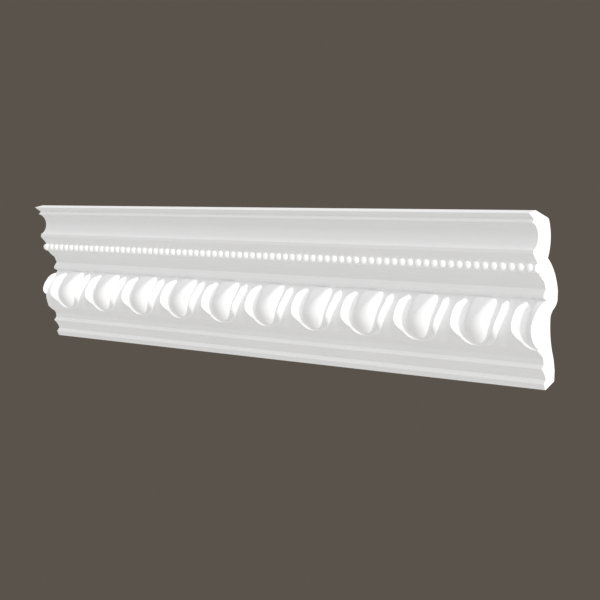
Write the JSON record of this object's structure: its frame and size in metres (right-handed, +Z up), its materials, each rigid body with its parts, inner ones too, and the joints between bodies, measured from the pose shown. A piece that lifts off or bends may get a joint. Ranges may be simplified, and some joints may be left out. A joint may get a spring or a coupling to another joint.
{
  "type": "cornice moulding",
  "caption": "Straight length of white cornice moulding with a cove, a row of beads and an egg-and-dart band, cut square at both ends.",
  "frame": {"origin": "on the wall, at mid length, in the middle of the flat land behind the foot", "axes": "+X along the moulding, to the right as seen from the room; +Y out of the back, into the wall; +Z up towards the ceiling"},
  "size_m": [0.552, 0.0465, 0.1298],
  "materials": {
    "moulding": "matt white primer on moulded polyurethane foam"
  },
  "bodies": {
    "root": {"cornice": "moulding"}
  },
  "joints": []
}
